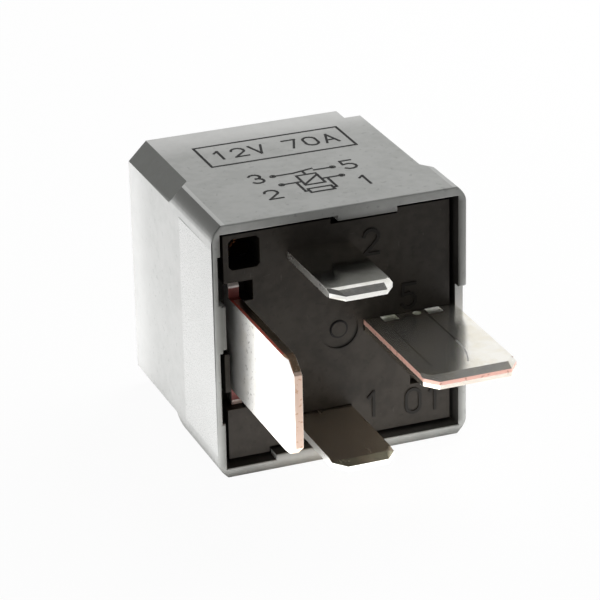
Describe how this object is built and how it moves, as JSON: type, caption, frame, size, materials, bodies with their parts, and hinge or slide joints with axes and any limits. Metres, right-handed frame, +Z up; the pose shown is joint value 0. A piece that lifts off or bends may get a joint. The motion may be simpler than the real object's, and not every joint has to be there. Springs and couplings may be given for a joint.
{
  "type": "automotive relay",
  "caption": "Square plastic automotive relay with blade terminals, a base set into the rim of its cover, and a coil, yoke and hinged armature inside.",
  "frame": {"origin": "under the middle of the whole relay, blades included, on the surface that it lies on", "axes": "+X across the terminal face towards the load blade 5, +Y from the blades into the relay and out at its closed end, +Z up from the side that it lies on"},
  "size_m": [0.0262, 0.0388, 0.0262],
  "materials": {
    "cover_plastic": "fine satin moulded surface, glass-filled plastic",
    "base_plastic": "satin moulded surface with fine scuffs",
    "tinned_copper": "bright tin plate with bare copper on the cut edges",
    "plated_steel": "zinc plated soft iron",
    "bobbin_plastic": "natural glass-filled plastic",
    "enamelled_wire": "enamelled copper wire",
    "tape": "thin polyester tape",
    "spring_bronze": "rolled copper alloy strip",
    "rivet_metal": "upset rivet heads",
    "contact_silver": "silver alloy contact buttons",
    "resistor_lacquer": "lacquered ceramic body",
    "tinned_wire": "tinned wire",
    "black_ink": "thin printed ink"
  },
  "bodies": {
    "relay_case": {"cover": "cover_plastic", "base": "base_plastic", "terminal_1": "tinned_copper", "terminal_2": "tinned_copper", "terminal_3": "tinned_copper", "terminal_5": "tinned_copper", "yoke": "plated_steel", "core": "plated_steel", "bobbin": "bobbin_plastic", "coil_winding": "enamelled_wire", "coil_tape": "tape", "coil_lead_1": "enamelled_wire", "coil_lead_2": "enamelled_wire", "spring_rivets": "rivet_metal", "terminal_rivets": "rivet_metal", "fixed_contact": "contact_silver", "resistor_body": "resistor_lacquer", "resistor_leads": "tinned_wire", "circuit_print": "black_ink"},
    "armature_set": {"armature": "plated_steel", "contact_spring": "spring_bronze", "armature_rivets": "rivet_metal", "moving_contact": "contact_silver"}
  },
  "joints": [
    {"name": "armature_pull_in", "type": "hinge", "parent": "relay_case", "child": "armature_set", "pos_m": [-0.0097, 0.01248, 0.0131], "axis": [0, 0, 1], "range_deg": [-2.6, 0], "stiffness_Nm_per_rad": 0.12, "springref_deg": 2.86, "deforming": ["contact_spring"]}
  ]
}
